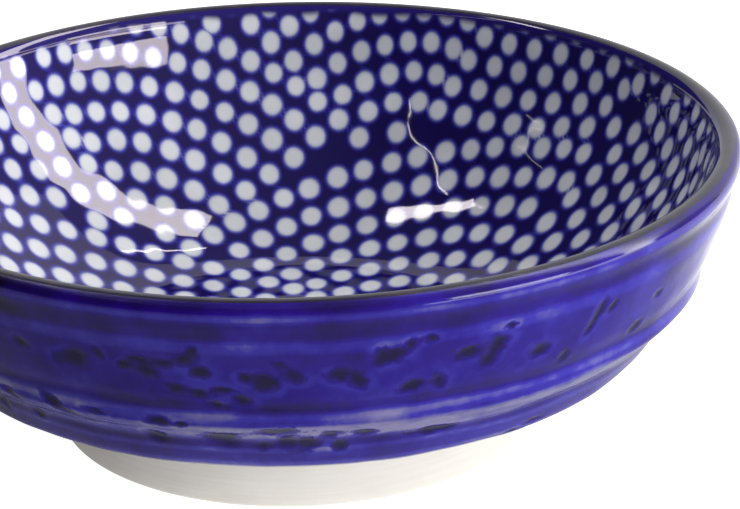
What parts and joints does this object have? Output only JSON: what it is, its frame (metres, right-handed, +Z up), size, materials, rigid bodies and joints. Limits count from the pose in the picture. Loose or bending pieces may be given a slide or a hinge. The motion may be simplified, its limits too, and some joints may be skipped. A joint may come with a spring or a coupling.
{
  "type": "soy sauce dish",
  "caption": "Small round footed dish for dipping sauce: blue glazed stepped wall with a rolled dark lip, dotted lining under clear glaze, bare turned foot ring.",
  "frame": {"origin": "middle of the foot on the table", "axes": "+Z up along the dish's axis of turning"},
  "size_m": [0.095, 0.095, 0.0317],
  "materials": {
    "white_clay": "fired white clay, hidden under the glaze",
    "bare_foot": "matte bare fired clay with fine turning lines",
    "cobalt_glaze": "glossy translucent cobalt glaze, darker where it pools",
    "lip_glaze": "glossy dark glaze",
    "cobalt_print": "cobalt ground with white dots in fanned arcs, under clear glaze",
    "clear_glaze": "glossy clear glaze",
    "base_glaze": "glossy clear glaze over white clay"
  },
  "bodies": {
    "root": {"clay_bowl": "white_clay", "foot_ring": "bare_foot", "outer_glaze": "cobalt_glaze", "rim_glaze": "lip_glaze", "inner_print": "cobalt_print", "clear_glaze": "clear_glaze", "base_glaze": "base_glaze"}
  },
  "joints": []
}
